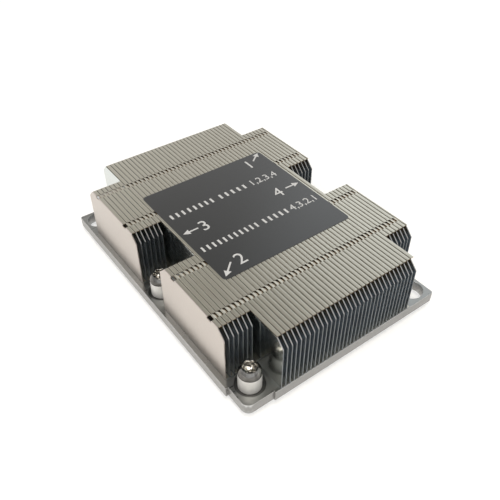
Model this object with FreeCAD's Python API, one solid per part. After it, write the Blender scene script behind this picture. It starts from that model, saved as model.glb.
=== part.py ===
import FreeCAD, Part
import math
import os

# Passive heatsink for a low-profile server processor: a machined base plate, a stack of
# folded sheet fins that zip together along four rows, four captive nuts held by retaining
# rings, and a label.  Millimetres.  The fins run along X, the stack is built up along Y and
# +Z is up.  The origin is the middle of the contact face that rests on the processor.

# ---- base plate ------------------------------------------------------------------------
base_length = 108.0
base_width = 78.0
base_thickness = 3.8
base_corner_radius = 0.8

pedestal_length = 72.0
pedestal_height = 1.7
pedestal_ring_clearance = 3.4  # to the retaining rings of the side nuts

# the plate is cut back a little round the two corners that carry a nut
relief_length = 9.5
relief_width = 10.7
relief_side_depth = 0.9
relief_end_depth = 0.6
relief_corner_radius = 2.5

# open holes for the guide posts, in the two other corners
guide_hole_radius = 4.25
guide_hole_end_margin = 5.5    # hole centre, in from the end of the plate
guide_hole_side_margin = 5.2

# ---- captive nuts ----------------------------------------------------------------------
corner_nut_end_margin = 7.0    # nut centre, in from the end of the plate
corner_nut_side_margin = 6.8
side_nut_side_margin = 5.5
side_nut_offset = 0.9          # along the fins, off the middle of the plate

nut_body_radius = 3.7
nut_body_height = 5.1          # straight part, above the top of the base plate
nut_rim_radius = 2.6           # of the flat that the drive recess opens in
nut_stem_radius = 2.8
nut_bottom_gap = 0.4           # stem end, above the surface the heatsink rests on

spot_face_radius = 4.8
spot_face_depth = 0.7
seat_clearance = 0.1           # between the nut's shoulder and the spot face
stem_clearance = 0.25          # radial, in the plate's hole

drive_tip_radius = 2.4         # six-lobe recess, to the tips of its lobes
drive_root_radius = 1.7
drive_lobe_width = 0.7
drive_depth = 2.4

thread_radius = 1.65           # bored for a 4 mm thread
thread_end_wall = 1.2          # solid metal left under the drive recess

ring_thickness = 0.5
ring_outer_radius = 4.1
ring_plate_gap = 0.15
ring_grip_clearance = 0.02     # at the prongs, which are pushed on to the stem
ring_relief_depth = 0.55       # between the prongs, out from the stem
ring_prong_width = 1.6
ring_side_prong_angle = 65.0   # from the mouth, which faces +X
ring_mouth_width = 4.4

# ---- fin stack -------------------------------------------------------------------------
sheet = 0.3
fin_height = 20.0
stack_side_margin = 1.72       # outermost web, in from the side of the plate
flange_gap = 0.08              # between a flange's free edge and the next fin
stack_end_gap = 0.1            # fin ends, back from the ends of the plate
end_chamfer = 3.0

side_fin_count = 7             # on each side of the centre block
centre_fin_count = 34
corner_notch = 12.0            # cut out of each corner of the stack, along the fins
side_gap = 14.9                # between the two blocks on one side, at the plate
end_fin_flange = 0.6           # the last fin has its flanges trimmed short

inner_row_inset = 7.85         # row of windows, in from the side gap
outer_row_inset = 7.2          # row of windows, in from the corner notch
window_length = 2.2
window_bridge = 0.35           # flange left between a window and its free edge
tab_length = 1.5
tab_reach = 0.8
tab_dip = 0.45
tab_offset = 0.25              # from the middle of its window, towards +X

# ---- label -----------------------------------------------------------------------------
label_size = 50.4
label_thickness = 0.15
label_corner_radius = 1.4

# ---- levels and places worked out from the sizes above -----------------------------------
plate_bottom_z = pedestal_height
plate_top_z = plate_bottom_z + base_thickness
fin_top_z = plate_top_z + fin_height
fin_count = 2 * side_fin_count + centre_fin_count
stack_width = base_width - 2 * stack_side_margin - sheet
fin_pitch = stack_width / (fin_count - 1)
flange_edge_y = fin_pitch - sheet / 2 - flange_gap
stack_length = base_length - 2 * stack_end_gap
block_outer_x = base_length / 2 - corner_notch
block_inner_x = side_gap / 2
inner_row_x = block_inner_x + inner_row_inset
outer_row_x = block_outer_x - outer_row_inset
guide_hole_x = base_length / 2 - guide_hole_end_margin
guide_hole_y = base_width / 2 - guide_hole_side_margin
guide_holes = ((guide_hole_x, guide_hole_y), (-guide_hole_x, -guide_hole_y))
corner_nut_x = base_length / 2 - corner_nut_end_margin
corner_nut_y = base_width / 2 - corner_nut_side_margin
side_nut_y = base_width / 2 - side_nut_side_margin
pedestal_width = 2 * (side_nut_y - ring_outer_radius - pedestal_ring_clearance)
nut_places = (
    (-corner_nut_x, corner_nut_y),
    (corner_nut_x, -corner_nut_y),
    (-side_nut_offset, -side_nut_y),
    (side_nut_offset, side_nut_y),
)

os.makedirs("parts", exist_ok=True)


def vec(x, y, z):
    return FreeCAD.Vector(x, y, z)


def save(node, shape):
    shape.exportStep("parts/" + node + ".step")


def box(x0, x1, y0, y1, z0, z1):
    return Part.makeBox(x1 - x0, y1 - y0, z1 - z0, vec(x0, y0, z0))


def cylinder(radius, z0, z1, x=0.0, y=0.0):
    return Part.makeCylinder(radius, z1 - z0, vec(x, y, z0))


def prism(points, direction):
    """A solid from a closed polygon of points, swept along a vector."""
    wire = Part.makePolygon(points + [points[0]])
    return Part.Face(wire).extrude(direction)


def rounded_block(length, width, z0, z1, radius):
    """A centred block whose upright edges are rounded."""
    block = box(-length / 2, length / 2, -width / 2, width / 2, z0, z1)
    upright = [e for e in block.Edges if abs(e.BoundBox.ZLength - (z1 - z0)) < 1e-6]
    return block.makeFillet(radius, upright)


# ---- base plate ------------------------------------------------------------------------
def corner_relief(sign):
    """What is cut off the plate round one nut corner, with the corner left rounded."""
    corner_x = base_length / 2
    corner_y = -base_width / 2
    inner_x = corner_x - relief_end_depth
    inner_y = corner_y + relief_side_depth
    start_x = corner_x - relief_length
    start_y = corner_y + relief_width
    overshoot = 1.0
    outside = prism(
        [
            vec(start_x, corner_y - overshoot, plate_bottom_z - overshoot),
            vec(corner_x + overshoot, corner_y - overshoot, plate_bottom_z - overshoot),
            vec(corner_x + overshoot, start_y, plate_bottom_z - overshoot),
            vec(start_x, start_y, plate_bottom_z - overshoot),
        ],
        vec(0, 0, base_thickness + 2 * overshoot),
    )
    kept = box(
        start_x - overshoot, inner_x,
        inner_y, start_y + overshoot,
        plate_bottom_z - overshoot, plate_top_z + overshoot,
    )
    corner_edge = [
        e for e in kept.Edges
        if e.BoundBox.ZLength > base_thickness
        and abs(e.BoundBox.XMin - inner_x) < 1e-6
        and abs(e.BoundBox.YMin - inner_y) < 1e-6
    ]
    cut = outside.cut(kept.makeFillet(relief_corner_radius, corner_edge))
    if sign < 0:
        cut.rotate(vec(0, 0, 0), vec(0, 0, 1), 180)
    return cut


def make_base_plate():
    plate = rounded_block(
        base_length, base_width, plate_bottom_z, plate_top_z, base_corner_radius
    )
    plate = plate.cut(corner_relief(1)).cut(corner_relief(-1))
    pedestal = box(
        -pedestal_length / 2, pedestal_length / 2,
        -pedestal_width / 2, pedestal_width / 2,
        0.0, plate_bottom_z,
    )
    body = plate.fuse(pedestal)
    for x, y in guide_holes:
        body = body.cut(cylinder(guide_hole_radius, 0.0, fin_top_z, x, y))
    for x, y in nut_places:
        hole = cylinder(nut_stem_radius + stem_clearance, 0.0, fin_top_z, x, y)
        spot = cylinder(spot_face_radius, plate_top_z - spot_face_depth, fin_top_z, x, y)
        body = body.cut(hole).cut(spot)
    return body.removeSplitter()


# ---- captive nuts ----------------------------------------------------------------------
shoulder_z = plate_top_z - spot_face_depth + seat_clearance
dome_start_z = plate_top_z + nut_body_height
nut_top_z = dome_start_z + math.sqrt(nut_body_radius ** 2 - nut_rim_radius ** 2)
drive_floor_z = nut_top_z - drive_depth
ring_top_z = plate_bottom_z - ring_plate_gap


def nut_section():
    """Half section of the nut in the XZ plane: stem, shoulder, straight body and taper."""
    outline = [
        vec(0, 0, nut_bottom_gap),
        vec(nut_stem_radius, 0, nut_bottom_gap),
        vec(nut_stem_radius, 0, shoulder_z),
        vec(nut_body_radius, 0, shoulder_z),
        vec(nut_body_radius, 0, dome_start_z),
        vec(nut_rim_radius, 0, nut_top_z),
        vec(0, 0, nut_top_z),
    ]
    return Part.Face(Part.makePolygon(outline + [outline[0]]))


def drive_recess():
    """The driver's way in from above: six square-ended lobes round a core."""
    corners = []
    for index in range(6):
        angle = math.radians(60 * index)
        outward = vec(math.cos(angle), math.sin(angle), 0)
        sideways = vec(-math.sin(angle), math.cos(angle), 0) * (drive_lobe_width / 2)
        between = math.radians(60 * index + 30)
        corners.append(outward * drive_tip_radius - sideways)
        corners.append(outward * drive_tip_radius + sideways)
        corners.append(vec(math.cos(between), math.sin(between), 0) * drive_root_radius)
    floor = [corner + vec(0, 0, drive_floor_z) for corner in corners]
    return prism(floor, vec(0, 0, drive_depth + 1.0))


def make_nut():
    nut = nut_section().revolve(vec(0, 0, 0), vec(0, 0, 1), 360)
    bore = cylinder(thread_radius, 0.0, drive_floor_z - thread_end_wall)
    return nut.cut(drive_recess()).cut(bore)


def ring_prong(angle, prong_tip):
    prong = box(
        prong_tip, ring_outer_radius,
        -ring_prong_width / 2, ring_prong_width / 2,
        ring_top_z - ring_thickness, ring_top_z,
    )
    prong.rotate(vec(0, 0, 0), vec(0, 0, 1), angle)
    return prong


def make_ring():
    """E-shaped retaining ring: open towards +X, with three prongs that grip the stem."""
    prong_tip = nut_stem_radius + ring_grip_clearance
    relief_corner = (prong_tip + ring_relief_depth) / math.cos(math.radians(22.5))
    relief = [
        vec(math.cos(angle), math.sin(angle), 0) * relief_corner
        for angle in (math.radians(22.5 + 45 * corner) for corner in range(8))
    ]
    disc = cylinder(ring_outer_radius, ring_top_z - ring_thickness, ring_top_z)
    mouth = box(
        0.0, ring_outer_radius + 1.0,
        -ring_mouth_width / 2, ring_mouth_width / 2,
        0.0, plate_bottom_z,
    )
    ring = disc.cut(prism(relief, vec(0, 0, plate_bottom_z))).cut(mouth)
    for angle in (180.0, ring_side_prong_angle, -ring_side_prong_angle):
        ring = ring.fuse(ring_prong(angle, prong_tip).common(disc))
    return ring.removeSplitter()


# ---- fins ------------------------------------------------------------------------------
def channel_section(flange_end):
    """Section of one fin at x = 0: a web with both edges folded towards +Y."""
    web_left = -sheet / 2
    web_right = sheet / 2
    outline = [
        vec(0, web_left, fin_top_z),
        vec(0, flange_end, fin_top_z),
        vec(0, flange_end, fin_top_z - sheet),
        vec(0, web_right, fin_top_z - sheet),
        vec(0, web_right, plate_top_z + sheet),
        vec(0, flange_end, plate_top_z + sheet),
        vec(0, flange_end, plate_top_z),
        vec(0, web_left, plate_top_z),
    ]
    return Part.Face(Part.makePolygon(outline + [outline[0]]))


def chamfered_blank(x0, x1, flange_end):
    """A folded fin from x0 to x1 whose two top corners are cut off at a slant."""
    section = channel_section(flange_end)
    section.translate(vec(x0, 0, 0))
    blank = section.extrude(vec(x1 - x0, 0, 0))
    for end_x, inward in ((x0, 1), (x1, -1)):
        slant = prism(
            [
                vec(end_x, -fin_pitch, fin_top_z - end_chamfer),
                vec(end_x + inward * end_chamfer, -fin_pitch, fin_top_z),
                vec(end_x + inward * end_chamfer, -fin_pitch, fin_top_z + 1.0),
                vec(end_x - inward * 1.0, -fin_pitch, fin_top_z + 1.0),
                vec(end_x - inward * 1.0, -fin_pitch, fin_top_z - end_chamfer),
            ],
            vec(0, 3 * fin_pitch, 0),
        )
        blank = blank.cut(slant)
    return blank


def zip_window(row_x):
    """Opening through the fold that takes the tab of the fin before."""
    return box(
        row_x - window_length / 2, row_x + window_length / 2,
        -sheet / 2 - 1.0, flange_edge_y - window_bridge,
        fin_top_z - sheet, fin_top_z + 1.0,
    )


def zip_tab(row_x):
    """Tongue on the flange's free edge, pressed down into the next fin's window."""
    start = row_x + tab_offset - tab_length / 2
    reach = flange_gap + tab_reach
    return prism(
        [
            vec(start, flange_edge_y, fin_top_z),
            vec(start, flange_edge_y, fin_top_z - sheet),
            vec(start, flange_edge_y + reach, fin_top_z - sheet - tab_dip),
            vec(start, flange_edge_y + reach, fin_top_z - tab_dip),
        ],
        vec(tab_length, 0, 0),
    )


def fin_y(index):
    return index * fin_pitch - stack_width / 2


def window_rows(index):
    """Where one fin has its windows.  A fin that the label covers has only the outer two."""
    start = fin_y(index) - sheet / 2
    end = fin_y(index) + flange_edge_y
    if -label_size / 2 < start and end < label_size / 2:
        return (-outer_row_x, outer_row_x)
    return (-outer_row_x, -inner_row_x, inner_row_x, outer_row_x)


def make_fin(index, x0, x1):
    """One fin in its place in the stack.  Its tabs go where the next fin has windows."""
    last = index == fin_count - 1
    fin = chamfered_blank(x0, x1, end_fin_flange if last else flange_edge_y)
    for row_x in window_rows(index):
        if x0 < row_x < x1:
            fin = fin.cut(zip_window(row_x))
    for row_x in () if last else window_rows(index + 1):
        if x0 < row_x < x1:
            fin = fin.fuse(zip_tab(row_x))
    fin = fin.removeSplitter()
    fin.translate(vec(0, fin_y(index), 0))
    return fin


def make_side_block(x0, x1, first):
    """One block of short fins at a side of the stack, each fin its own solid."""
    return Part.makeCompound(
        [make_fin(index, x0, x1) for index in range(first, first + side_fin_count)]
    )


# ---- label -----------------------------------------------------------------------------
def make_label():
    return rounded_block(
        label_size, label_size, fin_top_z, fin_top_z + label_thickness, label_corner_radius
    )


# ---- write the pieces --------------------------------------------------------------------
save("base_plate", make_base_plate())

nut_solid = make_nut()
ring_solid = make_ring()
for number, (nut_x, nut_y) in enumerate(nut_places, start=1):
    for name, solid in (("captive_nut", nut_solid), ("retaining_ring", ring_solid)):
        piece = solid.copy()
        piece.translate(vec(nut_x, nut_y, 0))
        save(name + "_" + str(number), piece)

for number in range(1, centre_fin_count + 1):
    fin_index = side_fin_count + number - 1
    save("fin_%02d" % number, make_fin(fin_index, -stack_length / 2, stack_length / 2))

right_first = side_fin_count + centre_fin_count
front_span = (block_inner_x, block_outer_x)
back_span = (-block_outer_x, -block_inner_x)
save("side_fins_front_left", make_side_block(*front_span, 0))
save("side_fins_back_left", make_side_block(*back_span, 0))
save("side_fins_front_right", make_side_block(*front_span, right_first))
save("side_fins_back_right", make_side_block(*back_span, right_first))

save("top_label", make_label())
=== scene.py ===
import math

import bpy
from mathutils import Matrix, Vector


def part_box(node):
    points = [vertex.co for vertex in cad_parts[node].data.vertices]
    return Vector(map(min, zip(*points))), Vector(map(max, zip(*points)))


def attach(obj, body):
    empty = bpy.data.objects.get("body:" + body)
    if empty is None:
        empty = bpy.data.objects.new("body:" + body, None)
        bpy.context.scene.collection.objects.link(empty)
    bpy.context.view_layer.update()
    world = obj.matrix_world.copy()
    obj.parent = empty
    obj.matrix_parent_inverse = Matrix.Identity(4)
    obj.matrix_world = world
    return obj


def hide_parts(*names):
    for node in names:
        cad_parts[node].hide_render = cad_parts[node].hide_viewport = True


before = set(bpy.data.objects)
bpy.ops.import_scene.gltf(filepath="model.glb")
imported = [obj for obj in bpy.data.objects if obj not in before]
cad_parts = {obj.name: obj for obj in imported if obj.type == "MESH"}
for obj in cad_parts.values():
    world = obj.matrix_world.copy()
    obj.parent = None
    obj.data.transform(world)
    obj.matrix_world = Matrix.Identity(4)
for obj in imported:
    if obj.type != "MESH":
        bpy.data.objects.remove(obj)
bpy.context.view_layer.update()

# Looks of the passive processor heatsink.  Lengths are in millimetres and are turned into
# metres where a mesh, a material, a light or the camera takes them.  Places come from the
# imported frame.  +X is the front, +Y the right and +Z up.  Colours are linear RGBA, and a
# pair of colours gives the two ends that a noise runs between.

MM = 0.001
SMOOTH_ANGLE = 35.0           # edges that turn by more than this stay sharp

# ---- folded fins -----------------------------------------------------------------------
SHEET = 0.3                   # fin stock
FOLD_RADIUS = 0.42            # outside of a fold
FOLD_STEPS = 5
END_CHAMFER = 3.0             # slant of a fin's two upper corners
FLANGE_GAP = 0.08             # from a flange's free edge to the next web
TRIMMED_FLANGE = 0.6          # the last fin's flanges end here, out from its web
SIDE_FIN_COUNT = 7            # in each side block
OUTER_SKIN = 0.04             # how far a closing face may stand from its plane
LEAST_FACING = 0.9            # least share of Y in a closing face's normal

INNER_ROW_INSET = 7.85        # zip rows, in from the ends of a side block
OUTER_ROW_INSET = 7.2
WINDOW_HALF = 1.05            # half of a window's length
WINDOW_DROP = 0.68            # how far a window runs down the web
WINDOW_BRIDGE = 0.35          # flange left between a window and the free edge
TAB_START = -0.9              # from the middle of the window, along X
TAB_END = 1.0
TAB_REACH = 1.05
TAB_SLOPE = math.radians(20.0)
TAB_BEND_SHARE = 0.5          # share of the reach by which the full slope is there
TAB_CROWN = 0.10              # how far a tab's sides curl down at its end
TAB_NARROWING = 0.35          # share of a tab's half length lost at its end
TAB_STEPS = 5
TAB_COLUMNS = 4

# ---- base plate ------------------------------------------------------------------------
WELD_DISTANCE = 0.001
FLAT_ANGLE = math.radians(1.0)
EDGE_EASE = 0.22
EDGE_STEPS = 2
EDGE_ANGLE = math.radians(40.0)

# ---- captive nuts ----------------------------------------------------------------------
NUT_SIDES = 96
NUT_RADIUS = 3.6              # of the straight body and of the dome on it
NUT_STRAIGHT = 5.1            # the straight body's height above the plate
NUT_SHOULDER_DEPTH = 0.6      # the shoulder, below the top of the plate
NUT_EDGE_EASE = 0.12
NUT_SEAM_HEIGHT = 0.12        # groove between the body and the dome
NUT_SEAM_DEPTH = 0.07
NUT_DOME_STEPS = 12
NUT_STEM_RADIUS = 2.8
NUT_STEM_CHAMFER = 0.25
NUT_SMOOTH_ANGLE = 40.0       # the same on the nuts
DRIVE_LOBES = 6
DRIVE_MEAN_RADIUS = 2.0
DRIVE_LOBE = 0.2              # how far a lobe stands out from the mean radius
DRIVE_DEPTH = 2.4
DRIVE_RIM = ((0.0, 0.08), (0.03, 0.03), (0.09, 0.0))   # eased: (depth, extra radius)
DRIVE_FLOOR_EASE = 0.15
DRIVE_FLOOR_DISH = 0.25
THREAD_RADIUS = 1.65
THREAD_DEPTH = 0.33
THREAD_PITCH = 0.7
THREAD_ROWS_PER_TURN = 6
THREAD_END_WALL = 1.2         # metal left between the thread's end and the drive recess
THREAD_END_CONE = 0.5
THREAD_MOUTH_HEIGHT = 0.55
THREAD_MOUTH_EXTRA = 0.1      # the mouth's radius over the thread's

# ---- label -----------------------------------------------------------------------------
LABEL_CORNER = 1.4
LABEL_CORNER_STEPS = 8
LABEL_EDGE_EASE = 0.04
PRINT_THICKNESS = 0.02

# Print on the label.  Across is +Y and up is -X, as a reader standing at the front sees it.
UPPER_LINE = 9.8
LOWER_LINE = -9.9
DIGIT_SHARE = 0.72            # a digit's height over its type size
CURVE_STEPS = 4
NUMERAL_HEIGHT = 5.1
ORDER_HEIGHT = 3.2
WORD_HEIGHT = 2.4
LETTER_SHARE = 0.34           # share of a letter's place that its block fills
ARROW_SHAFT = 0.28            # half of the shaft's width
ARROW_HEAD = 1.2              # half of the head's width
ARROW_HEAD_LENGTH = 2.4
NUMERALS = (                  # name, digit, across, up
    ("print_1", "1", 16.9, 20.1),
    ("print_3", "3", -16.0, 0.0),
    ("print_4", "4", 14.8, 0.1),
    ("print_2", "2", -15.9, -19.9),
)
ARROWS = (                    # name, tail, tip
    ("arrow_1", (19.6, 21.0), (24.2, 24.6)),
    ("arrow_3", (-18.3, 0.0), (-24.0, 0.0)),
    ("arrow_4", (18.4, 0.4), (24.2, 0.4)),
    ("arrow_2", (-19.2, -19.6), (-24.0, -24.0)),
)
ORDERS = (                    # name, digits, across, up
    ("print_order_up", "1,2,3,4", 15.6, UPPER_LINE),
    ("print_order_down", "4,3,2,1", 18.1, LOWER_LINE),
)
WORD_LINES = (                # name, up, and for each word its start, end and letters
    ("print_words_up", UPPER_LINE, ((-22.8, -4.6, 8), (-3.2, 9.4, 5))),
    ("print_words_down", LOWER_LINE, ((-23.2, -0.4, 11), (0.8, 12.3, 5))),
)

# ---- colours ---------------------------------------------------------------------------
WHITE = (1.0, 1.0, 1.0, 1.0)
# The fin sheet is one metal.  Its blue-grey web tone and warm flange tone are painted
# reflections, split by which way a face looks.
WEB = (0.62, 0.68, 0.73, 1.0), (0.68, 0.74, 0.79, 1.0)
WEB_NEAR_TOP = (0.50, 0.37, 0.25, 1.0)
FLANGE = (0.54, 0.522, 0.455, 1.0), (0.60, 0.582, 0.515, 1.0)
FOLD_SHADE = (0.055, 0.042, 0.028, 1.0)
TAB = (0.45, 0.425, 0.365, 1.0)
# Painted shade: cut edges that face an end are drawn darker than the sheet, less so near the top
# and on the slants.
CUT_EDGE = (0.19, 0.205, 0.215, 1.0)
CUT_EDGE_NEAR_TOP = (0.46, 0.38, 0.28, 1.0)
SLANTED_EDGE = (0.46, 0.465, 0.465, 1.0)
# Painted reflection: the outer closing faces are the fin metal in a pale warm tone of their own.
OUTER_FACE_REFLECTION = (0.53, 0.485, 0.445, 1.0), (0.57, 0.52, 0.48, 1.0)
# Painted light: the centre stack's closing faces are the fin metal in a brighter tone of their
# own.
CENTRE_FACE_PAINTED_LIGHT = (0.62, 0.65, 0.635, 1.0), (0.66, 0.69, 0.675, 1.0)
PLATE = (0.33, 0.335, 0.33, 1.0), (0.41, 0.415, 0.41, 1.0)
# Painted shade: the floors of the spot faces round the nuts are drawn near black.
SPOT_FACE = (0.15, 0.15, 0.148, 1.0)
# Painted highlight: the plate's eased edges are drawn bright.
PLATE_EDGE_HIGHLIGHT = (0.74, 0.74, 0.73, 1.0)
PLATE_FLANK = (0.305, 0.30, 0.292, 1.0)
NUT_BODY = (0.64, 0.625, 0.60, 1.0), (0.70, 0.685, 0.66, 1.0)
# Painted reflection: the dome's dark tones stand in for a dark room mirrored in it, darkest at
# its foot and lighter higher up.
DOME_LOW_REFLECTION = (0.08, 0.077, 0.072, 1.0), (0.18, 0.174, 0.164, 1.0)
DOME_HIGH_REFLECTION = (0.12, 0.116, 0.109, 1.0), (0.27, 0.261, 0.246, 1.0)
DOME_FOOT_REFLECTION = (0.03, 0.029, 0.027, 1.0)
# Painted light: the recess is given a paler nickel than the dome, which lifts the shade inside
# it.
RECESS = (0.48, 0.466, 0.44, 1.0), (0.60, 0.585, 0.555, 1.0)
SPRING_STEEL = (0.30, 0.30, 0.31, 1.0), (0.42, 0.42, 0.43, 1.0)
FILM = (0.010, 0.0108, 0.0125, 1.0), (0.014, 0.0152, 0.0175, 1.0)
INK = (0.50, 0.50, 0.50, 1.0), (0.66, 0.66, 0.66, 1.0)
FLOOR = (0.84, 0.84, 0.84, 1.0), (0.86, 0.86, 0.86, 1.0)

# ---- finishes --------------------------------------------------------------------------
# A roughness is one value, or the two ends that a noise runs between.
WEB_ROUGH = 0.14
FLANGE_ROUGH = 0.29
CUT_EDGE_ROUGH = 0.34
GRAIN_ROUGH = (0.0, 0.08)     # what the grain adds to the three above
OUTER_FACE_ROUGH = (0.30, 0.36)
CENTRE_FACE_ROUGH = (0.14, 0.19)
PLATE_ROUGH = (0.26, 0.40)
NUT_BODY_ROUGH = 0.42
DOME_ROUGH = 0.07
RECESS_ROUGH = (0.08, 0.13)
SPRING_ROUGH = (0.28, 0.42)
FILM_ROUGH = (0.29, 0.32)
INK_ROUGH = (0.50, 0.65)
FIN_METALLIC = 0.93
NUT_BODY_METALLIC = 0.55
FILM_SPECULAR = 0.95
NOISE_MIDDLE = (0.3, 0.7)     # the part of a noise's range that is spread out
PATCH_EDGE = (0.35, 0.65)     # how gently the dome's patches run into each other

# Which way a surface faces: the two values of a normal's share between which a look sets in,
# or fades where the comment says so.
STARTS_TO_FOLD = (0.05, 0.25)     # Z, where a web turns into its fold
LIES_FLAT = (0.78, 0.91)          # Z, on a flange
LEANS_RIGHT = (0.05, 0.2)         # Y, on a tab
SLANTS_UP = (0.3, 0.5)            # Z, on a tab and on a fin's slanted edge
FACES_LEFT = (-0.6, -0.2)         # Y, on a web: fades
FACES_AN_END = (0.35, 0.55)       # X either way, on a fin's cut edges
EASE_STARTS = (0.15, 0.35)        # Z, on the plate's eased edges
EASE_ENDS = (0.80, 0.97)          # Z, on the plate's eased edges: fades
STANDS_UPRIGHT = (0.08, 0.16)     # Z either way, on the plate's flanks: fades
LEAST_LEVEL = 0.9                 # Z, at least, on the plate's level faces

# Heights between which a look sets in, from a level that the material names.
WARMS = (-3.0, -0.9)              # from the top of the fins
DOME_BEGINS = (-0.06, 0.02)       # these three from the foot of the dome
DOME_FOOT_ENDS = (0.25, 0.45)
DOME_LIGHTENS = (0.9, 2.3)
SPOT_FACE_DEPTH = 0.3             # spot faces lie lower than this below the plate's top

# ---- light -----------------------------------------------------------------------------
FLOOR_HALF = 3000.0
FLOOR_NEAR = 250.0            # distances from the part between which the floor's glow grows
FLOOR_FAR = 1100.0
FLOOR_GLOW = 0.33             # seen by the camera and in mirrors, on top of the lit floor
FLOOR_FAR_GLOW = 0.62
HORIZON_TOP = 0.46            # heights of a ray's direction between which the room dims
CEILING_START = 0.76
CEILING_LEVEL = 0.14
CEILING_TINT = (1.0, 0.89, 0.70, 1.0)
NEUTRAL = (1.0, 1.0, 1.0)
WINDOW_TINT = (0.86, 0.94, 1.0)
LAMP_TINT = (1.0, 0.95, 0.87)
FILL_TINT = (0.90, 0.95, 1.0)
LAMP_AIM = (0, 0, 10)
LAMPS = (                     # name, place, size, watts, colour, shape
    ("back_window", (-210, 495, 440), (520, 400), 0.5, WINDOW_TINT, "RECTANGLE"),
    ("ceiling_lamp", (60, -40, 620), (220, 220), 1.1, LAMP_TINT, "DISK"),
    ("front_lamp", (300, -230, 430), (460, 220), 0.85, LAMP_TINT, "ELLIPSE"),
    ("left_window", (-430, -360, 470), (320, 240), 0.35, NEUTRAL, "RECTANGLE"),
    ("end_fill", (560, -340, 250), (960, 480), 0.9, FILL_TINT, "RECTANGLE"),
)

# ---- camera ----------------------------------------------------------------------------
CAMERA_PLACE = (129.5, -93.1, 147.1)
CAMERA_TARGET = (6.26, -2.04, 12.0)
CAMERA_LENS = 42.57
CAMERA_SENSOR = 36.0
CAMERA_NEAR = 5.0
CAMERA_FAR = 20000.0


# ---- mesh helpers ----------------------------------------------------------------------
def box_mm(node):
    low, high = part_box(node)
    return low / MM, high / MM


def add_piece(name, verts, faces, materials, body, smooth_angle=SMOOTH_ANGLE):
    """A mesh object from points in millimetres, riding on one body."""
    mesh = bpy.data.meshes.new(name)
    mesh.from_pydata([(x * MM, y * MM, z * MM) for x, y, z in verts], [], faces)
    mesh.validate()
    mesh.shade_smooth()
    mesh.set_sharp_from_angle(angle=math.radians(smooth_angle))
    for material in materials:
        mesh.materials.append(material)
    piece = bpy.data.objects.new(name, mesh)
    bpy.context.scene.collection.objects.link(piece)
    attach(piece, body)
    return piece


def thicken(points, normals, faces, thickness):
    """A closed shell round a sheet: both sides and a rim along every open edge."""
    half = thickness / 2
    count = len(points)
    front = [tuple(p[i] + n[i] * half for i in range(3)) for p, n in zip(points, normals)]
    back = [tuple(p[i] - n[i] * half for i in range(3)) for p, n in zip(points, normals)]
    edges = {}
    for face in faces:
        for a, b in zip(face, face[1:] + face[:1]):
            edges[(a, b)] = True
    shell = [tuple(face) for face in faces]
    shell += [tuple(count + v for v in reversed(face)) for face in faces]
    for a, b in edges:
        if (b, a) not in edges:
            shell.append((b, a, count + a, count + b))
    return front + back, shell


def drop_lone_points(verts, faces):
    """Leaves out the points that no face uses."""
    used = sorted({v for face in faces for v in face})
    place = {v: i for i, v in enumerate(used)}
    return [verts[v] for v in used], [tuple(place[v] for v in face) for face in faces]


def stack_levels(levels):
    """A closed plate from outlines of the same count, given from the lowest to the top."""
    count = len(levels[0])
    verts = [point for level in levels for point in level]
    top = count * (len(levels) - 1)
    faces = [tuple(reversed(range(count))), tuple(range(top, top + count))]
    for start in range(0, top, count):
        for i in range(count):
            j = (i + 1) % count
            faces.append((start + i, start + j, start + count + j, start + count + i))
    return verts, faces


def flat_plate(outline, z0, z1):
    return stack_levels([[(x, y, z) for x, y in outline] for z in (z0, z1)])


# ---- folded fins -----------------------------------------------------------------------
def fin_path(z0, z1, flange_end):
    """Middle line of a fin's section as (y, z, normal y, normal z), from the foot's free
    edge over the web to the top flange's free edge."""
    half = SHEET / 2
    bend = FOLD_RADIUS - half
    window_end = flange_end - WINDOW_BRIDGE
    quarter = [math.pi / 2 * step / FOLD_STEPS for step in range(FOLD_STEPS + 1)]
    path = [(flange_end, z0 + half, 0.0, -1.0)]
    for angle in quarter:
        out_y, out_z = -math.sin(angle), -math.cos(angle)
        path.append((bend + bend * out_y, z0 + half + bend + bend * out_z, out_y, out_z))
    path.append((0.0, z1 - END_CHAMFER, -1.0, 0.0))
    path.append((0.0, z1 - WINDOW_DROP, -1.0, 0.0))
    for angle in quarter:
        out_y, out_z = -math.cos(angle), math.sin(angle)
        path.append((bend + bend * out_y, z1 - half - bend + bend * out_z, out_y, out_z))
    if window_end > bend:
        path.append((window_end, z1 - half, 0.0, 1.0))
    path.append((flange_end, z1 - half, 0.0, 1.0))
    return path


def tab_columns(row):
    step = (TAB_END - TAB_START) / TAB_COLUMNS
    return [row + TAB_START + step * i for i in range(TAB_COLUMNS + 1)]


def fin_columns(x0, x1, rows):
    """Where a fin's faces divide along X."""
    columns = {x0, x1}
    for row in rows:
        columns |= {row - WINDOW_HALF, row + WINDOW_HALF}
        columns |= set(tab_columns(row))
    return sorted(columns)


def fin_faces(path, columns, rows, window_bottom, window_end):
    """Faces of a fin's sheet, with its windows left open."""
    faces = []
    width = len(columns)
    for r in range(len(path) - 1):
        y_mid = (path[r][0] + path[r + 1][0]) / 2
        z_mid = (path[r][1] + path[r + 1][1]) / 2
        in_band = z_mid > window_bottom and y_mid < window_end
        for c in range(width - 1):
            x_mid = (columns[c] + columns[c + 1]) / 2
            if in_band and any(abs(x_mid - row) < WINDOW_HALF for row in rows):
                continue
            a = r * width + c
            faces.append((a, a + 1, a + width + 1, a + width))
    return faces


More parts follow.
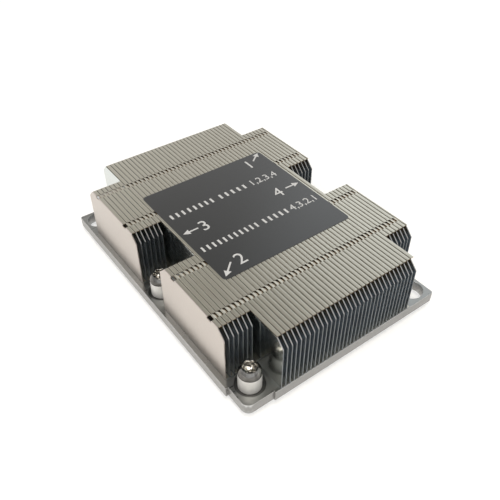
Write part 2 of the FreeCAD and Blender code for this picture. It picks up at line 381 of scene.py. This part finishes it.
def add_tab(points, normals, faces, edge, row, y, z):
    """A tongue out of a flange's free edge, whose points it shares.  It bends down,
    narrows, and its sides curl down towards its end."""
    middle = row + (TAB_START + TAB_END) / 2
    half_length = (TAB_END - TAB_START) / 2
    before = edge
    for step in range(1, TAB_STEPS + 1):
        share = step / TAB_STEPS
        slope = math.tan(TAB_SLOPE * min(1.0, share / TAB_BEND_SHARE))
        y += TAB_REACH / TAB_STEPS
        z -= TAB_REACH / TAB_STEPS * slope
        half = half_length * (1.0 - TAB_NARROWING * share ** 2)
        after = list(range(len(points), len(points) + TAB_COLUMNS + 1))
        for i in range(TAB_COLUMNS + 1):
            across = 2.0 * i / TAB_COLUMNS - 1.0
            lean = 2.0 * TAB_CROWN * share * across / half
            points.append((middle + half * across, y, z - TAB_CROWN * share * across ** 2))
            normals.append(tuple(Vector((lean, slope, 1.0)).normalized()))
        for i in range(TAB_COLUMNS):
            faces.append((before[i], before[i + 1], after[i + 1], after[i]))
        before = after


def fin_shell(x0, x1, z0, z1, web_y, flange_end, rows, has_tabs):
    """One fin: a folded sheet with a window in every row, and a tab too unless it's last."""
    path = fin_path(z0, z1, flange_end)
    columns = fin_columns(x0, x1, rows)
    points, normals = [], []
    for y, z, normal_y, normal_z in path:
        slant = max(0.0, z + SHEET / 2 * max(normal_z, 0.0) - (z1 - END_CHAMFER))
        for x in columns:
            points.append((min(max(x, x0 + slant), x1 - slant), web_y + y, z))
            normals.append((0.0, normal_y, normal_z))
    faces = fin_faces(path, columns, rows, z1 - WINDOW_DROP, flange_end - WINDOW_BRIDGE)
    edge_start = (len(path) - 1) * len(columns)
    for row in rows if has_tabs else ():
        edge = [edge_start + columns.index(x) for x in tab_columns(row)]
        add_tab(points, normals, faces, edge, row, web_y + flange_end, z1 - SHEET / 2)
    verts, shell = thicken(points, normals, faces, SHEET)
    return drop_lone_points(verts, shell)


def dress_outer_face(piece, y_from, y_to, facing):
    """A web that closes a block gets the piece's second material: the polygons whose
    middle lies between two places, and of those the ones that face one way along Y, or
    all of them where facing is 0."""
    for polygon in piece.data.polygons:
        between = y_from * MM < polygon.center.y < y_to * MM
        if between and (facing == 0 or polygon.normal.y * facing > LEAST_FACING):
            polygon.material_index = 1


def dress_right_face(piece, y):
    dress_outer_face(piece, y - OUTER_SKIN, y + OUTER_SKIN, 1)


def add_folded(node, verts, faces, materials):
    piece = add_piece("folded_" + node, verts, faces, materials, "heatsink")
    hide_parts(node)
    return piece


def make_centre_fins(nodes, flange_end, rows, materials):
    for node in nodes:
        low, high = box_mm(node)
        web_y = low.y + SHEET / 2
        verts, faces = fin_shell(
            low.x, high.x, low.z, top_of_fins, web_y, flange_end, rows, True
        )
        piece = add_folded(node, verts, faces, materials)
        if node == nodes[0]:
            dress_outer_face(piece, low.y - OUTER_SKIN, low.y + OUTER_SKIN, -1)
        if node == nodes[-1]:
            dress_right_face(piece, web_y + SHEET / 2)


def make_side_block(node, pitch, flange_end, rows, materials):
    """Seven short fins as one piece.  The right blocks end in the stack's last fin."""
    low, high = box_mm(node)
    own_rows = [x for x in rows if low.x < x < high.x]
    verts, faces = [], []
    for index in range(SIDE_FIN_COUNT):
        last = node.endswith("right") and index == SIDE_FIN_COUNT - 1
        web_y = low.y + SHEET / 2 + index * pitch
        fin_verts, fin_shell_faces = fin_shell(
            low.x, high.x, low.z, top_of_fins, web_y,
            TRIMMED_FLANGE if last else flange_end, own_rows, not last,
        )
        start = len(verts)
        verts += fin_verts
        faces += [tuple(start + v for v in face) for face in fin_shell_faces]
    piece = add_folded(node, verts, faces, materials)
    if node.endswith("left"):
        dress_outer_face(piece, low.y - OUTER_SKIN, low.y + FOLD_RADIUS, 0)
    else:
        dress_right_face(piece, web_y + SHEET / 2)


def make_fins(material, outer_material, centre_material):
    centre = sorted(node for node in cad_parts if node.startswith("fin_"))
    blocks = sorted(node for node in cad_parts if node.startswith("side_fins"))
    pitch = box_mm(centre[1])[0].y - box_mm(centre[0])[0].y
    flange_end = pitch - SHEET / 2 - FLANGE_GAP
    block_low, block_high = box_mm("side_fins_front_right")
    inner_row = block_low.x + INNER_ROW_INSET
    outer_row = block_high.x - OUTER_ROW_INSET
    rows = [-outer_row, -inner_row, inner_row, outer_row]
    make_centre_fins(centre, flange_end, rows, [material, centre_material])
    for node in blocks:
        make_side_block(node, pitch, flange_end, rows, [material, outer_material])


# ---- base plate ------------------------------------------------------------------------
def dress_node(node, material):
    """A new material on a CAD node that stays."""
    node.data.materials.clear()
    node.data.materials.append(material)


def dress_base(material):
    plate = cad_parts["base_plate"]
    dress_node(plate, material)
    weld = plate.modifiers.new("weld", "WELD")
    weld.merge_threshold = WELD_DISTANCE * MM
    merge = plate.modifiers.new("merge", "DECIMATE")
    merge.decimate_type = "DISSOLVE"
    merge.angle_limit = FLAT_ANGLE
    edge = plate.modifiers.new("edge", "BEVEL")
    edge.width = EDGE_EASE * MM
    edge.segments = EDGE_STEPS
    edge.limit_method = "ANGLE"
    edge.angle_limit = EDGE_ANGLE
    edge.harden_normals = True


# ---- captive nuts ----------------------------------------------------------------------
def nut_rows(z0, z1, plate_top):
    """Rings of the nut's surface, from the blind end of the thread, down its bore, up the
    outside and into the drive recess.  A ring is (radius, height), ("thread", height) or
    ("drive", height, extra radius)."""
    shoulder = plate_top - NUT_SHOULDER_DEPTH
    dome_base = plate_top + NUT_STRAIGHT
    drive_floor = z1 - DRIVE_DEPTH
    thread_end = drive_floor - THREAD_END_WALL
    mouth_radius = THREAD_RADIUS + THREAD_MOUTH_EXTRA
    rows = [(THREAD_RADIUS, thread_end)]
    height = thread_end - THREAD_PITCH
    while height > z0 + THREAD_PITCH:
        rows.append(("thread", height))
        height -= THREAD_PITCH / THREAD_ROWS_PER_TURN
    rows += [
        (mouth_radius, z0 + THREAD_MOUTH_HEIGHT),
        (mouth_radius + THREAD_DEPTH, z0),
        (NUT_STEM_RADIUS - NUT_STEM_CHAMFER, z0),
        (NUT_STEM_RADIUS, z0 + NUT_STEM_CHAMFER),
        (NUT_STEM_RADIUS, shoulder),
        (NUT_RADIUS - NUT_EDGE_EASE, shoulder),
        (NUT_RADIUS, shoulder + NUT_EDGE_EASE),
        (NUT_RADIUS, dome_base - NUT_SEAM_HEIGHT),
        (NUT_RADIUS - NUT_SEAM_DEPTH, dome_base - NUT_SEAM_HEIGHT / 2),
    ]
    rim_angle = math.asin((z1 - dome_base) / NUT_RADIUS)
    for step in range(NUT_DOME_STEPS + 1):
        angle = rim_angle * step / NUT_DOME_STEPS
        rows.append((NUT_RADIUS * math.cos(angle), dome_base + NUT_RADIUS * math.sin(angle)))
    rows += [("drive", z1 - depth, extra) for depth, extra in DRIVE_RIM]
    rows.append(("drive", drive_floor + DRIVE_FLOOR_EASE, 0.0))
    rows.append(("drive", drive_floor, -DRIVE_FLOOR_EASE))
    return rows


def nut_radius(row, angle):
    if row[0] == "thread":
        phase = (row[1] / THREAD_PITCH - angle / (2 * math.pi)) % 1.0
        return THREAD_RADIUS + THREAD_DEPTH * abs(2 * phase - 1)
    if row[0] == "drive":
        return DRIVE_MEAN_RADIUS + DRIVE_LOBE * math.cos(DRIVE_LOBES * angle) + row[2]
    return row[0]


def make_nut(node, body, materials, plate_top):
    """A domed nut, the second of whose materials is its drive recess's."""
    low, high = box_mm(node)
    centre_x, centre_y = (low.x + high.x) / 2, (low.y + high.y) / 2
    rows = nut_rows(low.z, high.z, plate_top)
    verts = []
    for row in rows:
        for side in range(NUT_SIDES):
            angle = 2 * math.pi * side / NUT_SIDES
            radius = nut_radius(row, angle)
            verts.append((
                centre_x + radius * math.cos(angle), centre_y + radius * math.sin(angle), row[1],
            ))
    faces = []
    for r in range(len(rows) - 1):
        for side in range(NUT_SIDES):
            a = r * NUT_SIDES + side
            b = r * NUT_SIDES + (side + 1) % NUT_SIDES
            faces.append((a, a + NUT_SIDES, b + NUT_SIDES, b))
    blind = len(verts)
    floor = blind + 1
    verts.append((centre_x, centre_y, rows[0][1] + THREAD_END_CONE))
    verts.append((centre_x, centre_y, rows[-1][1] - DRIVE_FLOOR_DISH))
    last = (len(rows) - 1) * NUT_SIDES
    for side in range(NUT_SIDES):
        after = (side + 1) % NUT_SIDES
        faces.append((side, after, blind))
        faces.append((last + after, last + side, floor))
    piece = add_piece("domed_" + node, verts, faces, materials, body, NUT_SMOOTH_ANGLE)
    recess_start = [row[0] for row in rows].index("drive") * NUT_SIDES
    for polygon in piece.data.polygons:
        if min(polygon.vertices) >= recess_start:
            polygon.material_index = 1
    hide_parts(node)


# ---- label and its print ---------------------------------------------------------------
def rounded_square(half, corner, steps):
    """Corner points of a rounded square about the origin, anticlockwise."""
    outline = []
    for quarter in range(4):
        turn = math.pi / 2 * quarter
        for step in range(steps + 1):
            angle = turn + math.pi / 2 * step / steps
            x = (half - corner) * (1 if quarter in (0, 3) else -1) + corner * math.cos(angle)
            y = (half - corner) * (1 if quarter in (0, 1) else -1) + corner * math.sin(angle)
            outline.append((x, y))
    return outline


def eased_plate(outline, z0, z1, ease):
    """A flat plate from an anticlockwise outline about the origin, its upper edge eased."""
    inward = 1 - ease / max(math.hypot(x, y) for x, y in outline)
    return stack_levels([
        [(x, y, z0) for x, y in outline],
        [(x, y, z1 - ease) for x, y in outline],
        [(x * inward, y * inward, z1) for x, y in outline],
    ])


def make_label(film, ink):
    low, high = box_mm("top_label")
    top = high.z - PRINT_THICKNESS
    outline = rounded_square((high.x - low.x) / 2, LABEL_CORNER, LABEL_CORNER_STEPS)
    verts, faces = eased_plate(outline, low.z, top, LABEL_EDGE_EASE)
    piece = add_piece("label_film", verts, faces, [film], "heatsink")
    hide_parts("top_label")
    make_print(ink, top, high.z)


def on_label(across, up):
    return (-up, across)


def add_print(name, verts, faces, ink):
    piece = add_piece(name, verts, faces, [ink], "heatsink")


def print_arrow(name, ink, tail, tip, z0, z1):
    dx, dy = tip[0] - tail[0], tip[1] - tail[1]
    length = math.hypot(dx, dy)
    ux, uy = dx / length, dy / length
    neck = length - ARROW_HEAD_LENGTH
    outline = []
    for along, aside in (
        (0.0, -ARROW_SHAFT), (neck, -ARROW_SHAFT), (neck, -ARROW_HEAD),
        (length, 0.0), (neck, ARROW_HEAD), (neck, ARROW_SHAFT), (0.0, ARROW_SHAFT),
    ):
        across = tail[0] + ux * along - uy * aside
        up = tail[1] + uy * along + ux * aside
        outline.append(on_label(across, up))
    verts, faces = flat_plate(outline, z0, z1)
    add_print(name, verts, faces, ink)


def print_words(name, ink, up, words, z0, z1):
    """Small upright blocks that stand in for words, one for each letter."""
    bottom, top = up - WORD_HEIGHT / 2, up + WORD_HEIGHT / 2
    verts, faces = [], []
    for word_start, word_end, letters in words:
        pitch = (word_end - word_start) / letters
        for letter in range(letters):
            left = word_start + letter * pitch
            right = left + LETTER_SHARE * pitch
            outline = [
                on_label(left, bottom), on_label(right, bottom),
                on_label(right, top), on_label(left, top),
            ]
            start = len(verts)
            block, block_faces = flat_plate(outline, z0, z1)
            verts += block
            faces += [tuple(start + v for v in face) for face in block_faces]
    add_print(name, verts, faces, ink)


def print_number(name, ink, text, across, up, height, z0, z1):
    """Plain digits, from Blender's own typeface, centred on a place on the label."""
    curve = bpy.data.curves.new(name + "_type", "FONT")
    curve.body = text
    curve.size = height * MM / DIGIT_SHARE
    curve.align_x = "CENTER"
    curve.align_y = "CENTER"
    curve.resolution_u = CURVE_STEPS
    holder = bpy.data.objects.new(name + "_type", curve)
    bpy.context.scene.collection.objects.link(holder)
    bpy.context.view_layer.update()
    flat = bpy.data.meshes.new_from_object(holder)
    bpy.data.objects.remove(holder)
    x0, y0 = on_label(across, up)
    places = [(v.co.x / MM, v.co.y / MM) for v in flat.vertices]
    heights = [y for x, y in places]
    middle = (min(heights) + max(heights)) / 2
    points = [(x0 - (y - middle), y0 + x, (z0 + z1) / 2) for x, y in places]
    faces = [tuple(polygon.vertices) for polygon in flat.polygons]
    upward = [(0.0, 0.0, 1.0)] * len(points)
    verts, faces = thicken(points, upward, faces, z1 - z0)
    add_print(name, verts, faces, ink)


def make_print(ink, z0, z1):
    for name, digit, across, up in NUMERALS:
        print_number(name, ink, digit, across, up, NUMERAL_HEIGHT, z0, z1)
    for name, tail, tip in ARROWS:
        print_arrow(name, ink, tail, tip, z0, z1)
    for name, digits, across, up in ORDERS:
        print_number(name, ink, digits, across, up, ORDER_HEIGHT, z0, z1)
    for name, up, words in WORD_LINES:
        print_words(name, ink, up, words, z0, z1)


# ---- node trees ------------------------------------------------------------------------
class Nodes:
    """Short way to build the node tree of a material or a world."""

    def __init__(self, owner, output_kind="ShaderNodeOutputMaterial"):
        self.owner = owner
        owner.use_nodes = True
        self.tree = owner.node_tree
        self.tree.nodes.clear()
        self.output = self.add(output_kind)

    def fill(self, socket, value):
        if isinstance(value, bpy.types.NodeSocket):
            self.tree.links.new(value, socket)
        else:
            socket.default_value = value

    def add(self, kind, inputs=None, **settings):
        node = self.tree.nodes.new(kind)
        for key, value in settings.items():
            setattr(node, key, value)
        for key, value in (inputs or {}).items():
            self.fill(node.inputs[key], value)
        return node

    def coordinates(self, kind):
        return self.add("ShaderNodeTexCoord").outputs[kind]

    def axes(self, kind):
        """Outputs X, Y and Z of one kind of coordinates."""
        return self.add("ShaderNodeSeparateXYZ", {"Vector": self.coordinates(kind)}).outputs

    def noise(self, scale, detail, stretch=(1.0, 1.0, 1.0)):
        """Noise on object coordinates, its grain drawn out along the axes of small stretch."""
        place = self.add(
            "ShaderNodeMapping", {"Vector": self.coordinates("Object"), "Scale": stretch}
        ).outputs["Vector"]
        inputs = {"Vector": place, "Scale": scale, "Detail": detail, "Roughness": 0.5}
        return self.add("ShaderNodeTexNoise", inputs).outputs["Fac"]

    def ramp(self, value, low, high, out_low, out_high, **settings):
        inputs = {
            "Value": value, "From Min": low, "From Max": high,
            "To Min": out_low, "To Max": out_high,
        }
        return self.add("ShaderNodeMapRange", inputs, **settings).outputs["Result"]

    def over(self, value, limits):
        """0 below both limits, 1 above both, and a rise between them."""
        return self.ramp(value, limits[0], limits[1], 0.0, 1.0)

    def under(self, value, limits):
        return self.ramp(value, limits[0], limits[1], 1.0, 0.0)

    def above(self, height, level, rise):
        """0 below and 1 above a rise, whose ends are millimetres from a level."""
        return self.over(height, [(level + end) * MM for end in rise])

    def spread(self, noise, low, high):
        """The middle of a noise's range, spread between two values."""
        return self.ramp(noise, *NOISE_MIDDLE, low, high)

    def mix(self, factor, a, b):
        node = self.add("ShaderNodeMix", data_type="RGBA")
        for number, value in ((0, factor), (6, a), (7, b)):
            self.fill(node.inputs[number], value)
        return node.outputs[2]

    def math(self, operation, a, b=0.0):
        return self.add("ShaderNodeMath", {0: a, 1: b}, operation=operation).outputs[0]

    def relief(self, height, strength, depth):
        """A normal for fine relief, its depth in millimetres."""
        inputs = {"Height": height, "Strength": strength, "Distance": depth * MM}
        return self.add("ShaderNodeBump", inputs).outputs["Normal"]

    def surface(self, shader):
        self.tree.links.new(shader, self.output.inputs["Surface"])
        return self.owner

    def coat(self, inputs):
        """Closes the tree with one Principled shader."""
        return self.surface(self.add("ShaderNodeBsdfPrincipled", inputs).outputs["BSDF"])


def new_material(name):
    return Nodes(bpy.data.materials.new(name))


# ---- materials -------------------------------------------------------------------------
def fin_material():
    """Folded sheet of one metal, toned by which way each face looks: blue-grey webs and warm
    flanges are painted reflections, dark folds painted shade, and cut edges painted darker as
    shade, paler near the top and on the slants.
    """
    n = new_material("folded_fin_aluminium")
    grain = n.noise(scale=900.0, detail=3.0, stretch=(0.05, 1.0, 1.0))
    cloud = n.noise(scale=28.0, detail=3.0)
    facing = n.axes("Normal")
    near_top = n.above(n.axes("Object")["Z"], top_of_fins, WARMS)
    on_flange = n.over(facing["Z"], LIES_FLAT)
    slanting = n.over(facing["Z"], SLANTS_UP)
    sideways = n.math("ABSOLUTE", facing["X"])
    on_tab = n.math("MULTIPLY", n.over(facing["Y"], LEANS_RIGHT), slanting)
    warm_web = n.math("MULTIPLY", near_top, n.under(facing["Y"], FACES_LEFT))
    # Painted reflections: the web tone here and the flange tone below are one metal, toned by
    # which way a face looks.
    web = n.mix(warm_web, n.mix(cloud, *WEB), WEB_NEAR_TOP)
    colour = n.mix(n.over(facing["Z"], STARTS_TO_FOLD), web, FOLD_SHADE)
    colour = n.mix(on_tab, colour, TAB)
    colour = n.mix(on_flange, colour, n.mix(on_tab, n.mix(cloud, *FLANGE), TAB))
    # Painted shade: the cut edges at the fins' ends are darkened.
    cut = n.mix(near_top, CUT_EDGE, CUT_EDGE_NEAR_TOP)
    colour = n.mix(n.over(sideways, FACES_AN_END), colour, n.mix(slanting, cut, SLANTED_EDGE))
    base_rough = n.math(
        "MAXIMUM", n.ramp(facing["Z"], *LIES_FLAT, WEB_ROUGH, FLANGE_ROUGH),
        n.ramp(sideways, *FACES_AN_END, WEB_ROUGH, CUT_EDGE_ROUGH),
    )
    return n.coat({
        "Base Color": colour,
        "Metallic": FIN_METALLIC,
        "Roughness": n.math("ADD", n.spread(grain, *GRAIN_ROUGH), base_rough),
        "Normal": n.relief(grain, strength=0.05, depth=0.03),
    })


def face_material(name, colours, roughness):
    """The flat web that closes a block, as a smooth rolled sheet.  Its colour is painted light:
    a copy of the fin metal, toned for where the face stands.
    """
    n = new_material(name)
    grain = n.noise(scale=1500.0, detail=3.0, stretch=(1.0, 1.0, 0.3))
    cloud = n.noise(scale=22.0, detail=3.0)
    return n.coat({
        "Base Color": n.mix(cloud, *colours),
        "Metallic": 1.0,
        "Roughness": n.spread(grain, *roughness),
        "Normal": n.relief(grain, strength=0.03, depth=0.03),
    })


def base_material(plate_top):
    """Machined plate: spot faces painted dark as shade, eased edges painted bright as
    highlights, and darker flanks.
    """
    n = new_material("machined_plate_aluminium")
    lines = n.noise(scale=1400.0, detail=2.0, stretch=(1.0, 0.06, 1.0))
    cloud = n.noise(scale=45.0, detail=4.0)
    upward = n.axes("Normal")["Z"]
    spot_level = (plate_top - SPOT_FACE_DEPTH) * MM
    sunk = n.math("LESS_THAN", n.axes("Object")["Z"], spot_level)
    level = n.math("GREATER_THAN", upward, LEAST_LEVEL)
    eased = n.math("MULTIPLY", n.over(upward, EASE_STARTS), n.under(upward, EASE_ENDS))
    flank = n.under(n.math("ABSOLUTE", upward), STANDS_UPRIGHT)
    # Painted shade in the spot faces.
    colour = n.mix(n.math("MULTIPLY", sunk, level), n.mix(cloud, *PLATE), SPOT_FACE)
    # Painted highlight on the eased edges.
    colour = n.mix(eased, colour, PLATE_EDGE_HIGHLIGHT)
    colour = n.mix(flank, colour, PLATE_FLANK)
    return n.coat({
        "Base Color": colour,
        "Metallic": 1.0,
        "Roughness": n.spread(lines, *PLATE_ROUGH),
        "Normal": n.relief(lines, strength=0.15, depth=0.05),
    })


def nut_material(dome_base):
    """A pale matt body under a mirror dome whose dark, patchy tones are a painted reflection of
    a dark room, darkest in a ring at the dome's foot and lighter higher up.
    """
    n = new_material("nickel_nut")
    height = n.axes("Object")["Z"]
    on_dome = n.above(height, dome_base, DOME_BEGINS)
    past_foot = n.above(height, dome_base, DOME_FOOT_ENDS)
    high_up = n.above(height, dome_base, DOME_LIGHTENS)
    speck = n.noise(scale=700.0, detail=3.0)
    patch = n.over(n.noise(scale=420.0, detail=4.0), PATCH_EDGE)
    # Painted reflection: dark patches, a darker foot ring and a lighter top on the dome.
    dome = n.mix(high_up, n.mix(patch, *DOME_LOW_REFLECTION), n.mix(patch, *DOME_HIGH_REFLECTION))
    dome = n.mix(past_foot, DOME_FOOT_REFLECTION, dome)
    return n.coat({
        "Base Color": n.mix(on_dome, n.mix(speck, *NUT_BODY), dome),
        "Metallic": n.ramp(on_dome, 0.0, 1.0, NUT_BODY_METALLIC, 1.0),
        "Roughness": n.ramp(on_dome, 0.0, 1.0, NUT_BODY_ROUGH, DOME_ROUGH),
    })


def specked_metal(name, colours, roughness, detail):
    """Plain bare metal with a fine speck in its colour and roughness."""
    n = new_material(name)
    speck = n.noise(scale=900.0, detail=detail)
    return n.coat({
        "Base Color": n.mix(speck, *colours),
        "Metallic": 1.0,
        "Roughness": n.spread(speck, *roughness),
    })


def film_material():
    n = new_material("charcoal_label_film")
    cloud = n.noise(scale=60.0, detail=4.0)
    fine = n.noise(scale=2600.0, detail=2.0)
    return n.coat({
        "Base Color": n.mix(cloud, *FILM),
        "Roughness": n.spread(fine, *FILM_ROUGH),
        "Normal": n.relief(fine, strength=0.025, depth=0.02),
        "Specular IOR Level": FILM_SPECULAR,
    })


def ink_material():
    n = new_material("pale_label_print")
    worn = n.noise(scale=900.0, detail=4.0)
    return n.coat({"Base Color": n.mix(worn, *INK), "Roughness": n.spread(worn, *INK_ROUGH)})


def floor_material():
    """A matt floor that also glows for the camera and in mirrors, more so farther off."""
    n = new_material("pale_floor")
    path = n.add("ShaderNodeLightPath").outputs
    seen = n.math("MAXIMUM", path["Is Camera Ray"], path["Is Glossy Ray"])
    seen = n.math("MAXIMUM", seen, path["Is Transmission Ray"])
    place = n.coordinates("Object")
    reach = n.add("ShaderNodeVectorMath", {0: place}, operation="LENGTH").outputs["Value"]
    glow = n.ramp(reach, FLOOR_NEAR * MM, FLOOR_FAR * MM, FLOOR_GLOW, FLOOR_FAR_GLOW)
    tone = n.mix(n.noise(scale=9.0, detail=2.0), *FLOOR)
    matt = n.add("ShaderNodeBsdfDiffuse", {"Color": tone})
    glowing = n.add(
        "ShaderNodeEmission", {"Color": WHITE, "Strength": n.math("MULTIPLY", seen, glow)}
    )
    both = n.add("ShaderNodeAddShader", {0: matt.outputs[0], 1: glowing.outputs[0]})
    return n.surface(both.outputs[0])


# ---- floor, room, lamps and camera -----------------------------------------------------
def make_floor():
    mesh = bpy.data.meshes.new("floor")
    half = FLOOR_HALF * MM
    corners = [(-half, -half, 0.0), (half, -half, 0.0), (half, half, 0.0), (-half, half, 0.0)]
    mesh.from_pydata(corners, [], [(0, 1, 2, 3)])
    mesh.materials.append(floor_material())
    floor = bpy.data.objects.new("floor", mesh)
    bpy.context.scene.collection.objects.link(floor)


def make_world():
    """A pale room: white near the horizon and dimmer overhead, for every kind of ray."""
    world = bpy.data.worlds.new("studio")
    bpy.context.scene.world = world
    n = Nodes(world, "ShaderNodeOutputWorld")
    upward = n.axes("Generated")["Z"]
    level = n.ramp(
        upward, HORIZON_TOP, CEILING_START, 1.0, CEILING_LEVEL, interpolation_type="SMOOTHSTEP"
    )
    sky = n.add(
        "ShaderNodeBackground", {"Color": n.mix(level, CEILING_TINT, WHITE), "Strength": level}
    )
    n.surface(sky.outputs[0])


def look_at(thing, place, target):
    thing.location = Vector(place) * MM
    thing.rotation_mode = "QUATERNION"
    aim = (Vector(target) - Vector(place)) * MM
    thing.rotation_quaternion = aim.to_track_quat("-Z", "Y")


def add_lamp(name, place, size, power, colour, shape):
    light = bpy.data.lights.new(name, "AREA")
    light.shape = shape
    light.size = size[0] * MM
    light.size_y = size[1] * MM
    light.energy = power
    light.color = colour
    lamp = bpy.data.objects.new(name, light)
    bpy.context.scene.collection.objects.link(lamp)
    look_at(lamp, place, LAMP_AIM)


def make_camera():
    data = bpy.data.cameras.new("camera")
    data.lens = CAMERA_LENS
    data.sensor_width = CAMERA_SENSOR
    data.clip_start = CAMERA_NEAR * MM
    data.clip_end = CAMERA_FAR * MM
    camera = bpy.data.objects.new("camera", data)
    bpy.context.scene.collection.objects.link(camera)
    look_at(camera, CAMERA_PLACE, CAMERA_TARGET)
    bpy.context.scene.camera = camera


# ---- build the scene -------------------------------------------------------------------
bpy.context.scene.view_settings.view_transform = "Standard"
top_of_fins = box_mm("fin_01")[1].z
top_of_plate = box_mm("base_plate")[1].z

# Painted reflection: a pale warm copy of the fin metal for the outer closing faces.
outer_face = face_material("outer_fin_face_painted_reflection", OUTER_FACE_REFLECTION, OUTER_FACE_ROUGH)
# Painted light: a brighter copy of the fin metal for the centre stack's closing faces.
centre_face = face_material("centre_fin_face_painted_light", CENTRE_FACE_PAINTED_LIGHT, CENTRE_FACE_ROUGH)
make_fins(fin_material(), outer_face, centre_face)
dress_base(base_material(top_of_plate))

nickel = [
    nut_material(top_of_plate + NUT_STRAIGHT),
    # Painted light: the recess's paler nickel lifts the shade inside it.
    specked_metal("nickel_recess", RECESS, RECESS_ROUGH, detail=3.0),
]
steel = specked_metal("spring_steel_ring", SPRING_STEEL, SPRING_ROUGH, detail=4.0)
for number in range(1, 5):
    make_nut("captive_nut_%d" % number, "nut_%d" % number, nickel, top_of_plate)
    dress_node(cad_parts["retaining_ring_%d" % number], steel)
make_label(film_material(), ink_material())

make_floor()
make_world()
for lamp_values in LAMPS:
    add_lamp(*lamp_values)
make_camera()
